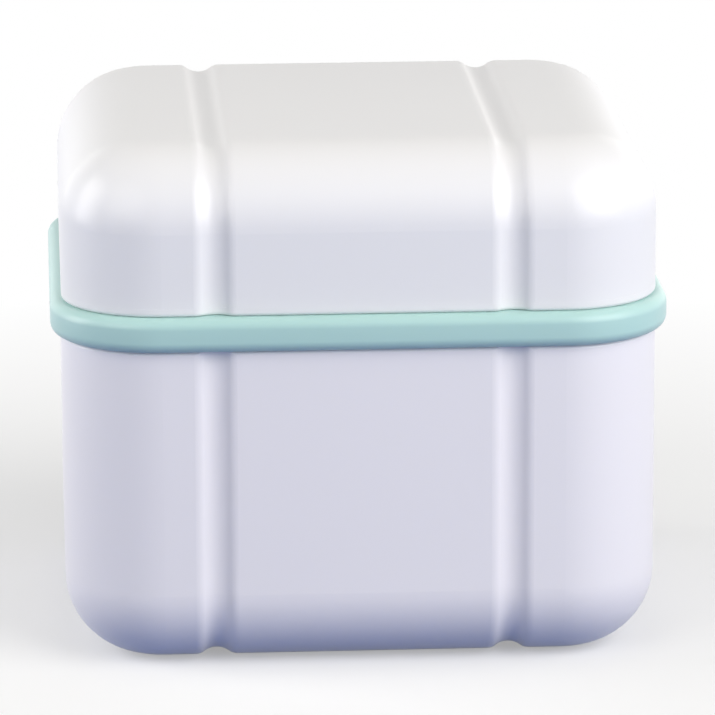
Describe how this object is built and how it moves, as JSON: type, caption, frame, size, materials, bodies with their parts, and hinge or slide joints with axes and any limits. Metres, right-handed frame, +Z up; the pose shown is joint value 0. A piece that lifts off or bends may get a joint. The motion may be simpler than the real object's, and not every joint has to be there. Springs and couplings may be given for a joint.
{
  "type": "denture case",
  "caption": "Box-shaped denture bath case with wrap-round flutes, soft ring at the seam, rear-hinged lid and slotted lift-out basket.",
  "frame": {"origin": "middle of the flat underside, under the middle of the case's plan outline", "axes": "+X to the right of the front, +Y to the hinge at the back, +Z up"},
  "size_m": [0.0882, 0.0864, 0.0755],
  "materials": {
    "base_plastic": "glossy moulded white with a cool cast",
    "lid_plastic": "glossy moulded white",
    "ring_silicone": "soft satin silicone, slightly translucent mint",
    "pin_steel": "drawn stainless wire",
    "basket_plastic": "milky natural polypropylene",
    "handle_plastic": "mint moulded plastic"
  },
  "bodies": {
    "base": {"base_shell": "base_plastic", "seal_ring": "ring_silicone", "hinge_pin": "pin_steel"},
    "lid": {"lid_shell": "lid_plastic"},
    "basket": {"drain_basket": "basket_plastic"},
    "bail": {"basket_handle": "handle_plastic"}
  },
  "joints": [
    {"name": "lid_hinge", "type": "hinge", "parent": "base", "child": "lid", "pos_m": [0, 0.0428, 0.05], "axis": [-1, 0, 0], "range_deg": [0, 115]},
    {"name": "basket_lift", "type": "slide", "parent": "base", "child": "basket", "axis": [0, 0, 1], "range_m": [0, 0.008]},
    {"name": "bail_swing", "type": "hinge", "parent": "basket", "child": "bail", "pos_m": [0, 0, 0.04145], "axis": [-1, 0, 0], "range_deg": [0, 180]}
  ]
}
